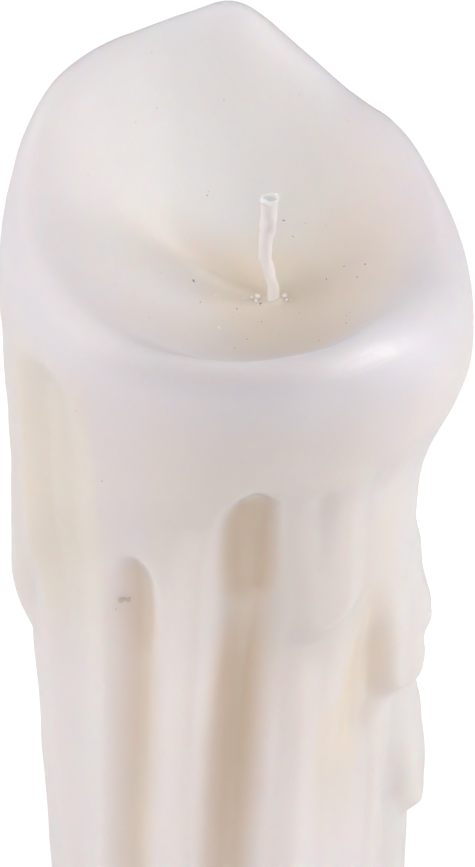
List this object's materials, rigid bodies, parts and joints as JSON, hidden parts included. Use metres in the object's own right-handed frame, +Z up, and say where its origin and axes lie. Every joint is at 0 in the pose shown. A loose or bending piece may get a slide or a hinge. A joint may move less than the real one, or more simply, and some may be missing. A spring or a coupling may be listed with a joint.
{
  "type": "melted candle",
  "caption": "Melted pillar candle: an ivory wax column with a dished melt bowl round a short bent wick, a rim higher at the back, and drips and grooves of run wax down its sides.",
  "frame": {"origin": "on the floor plane, at the middle of the candle's plan", "axes": "+Z up the candle, -Y towards the front, where the rim is low and two deep grooves run down, and +X to the right"},
  "size_m": [0.0866, 0.0836, 0.2282],
  "materials": {
    "wax": "satin translucent paraffin, cool ivory on its skin and warmer in the hollows, with soot specks in the melt bowl",
    "wick": "braided cotton soaked in wax, pale and unburnt, with a ragged flat-cut end",
    "tab": "tinned sheet steel, dull and slightly mottled"
  },
  "bodies": {
    "root": {"wax_body": "wax", "wick": "wick", "wick_tab": "tab"}
  },
  "joints": []
}
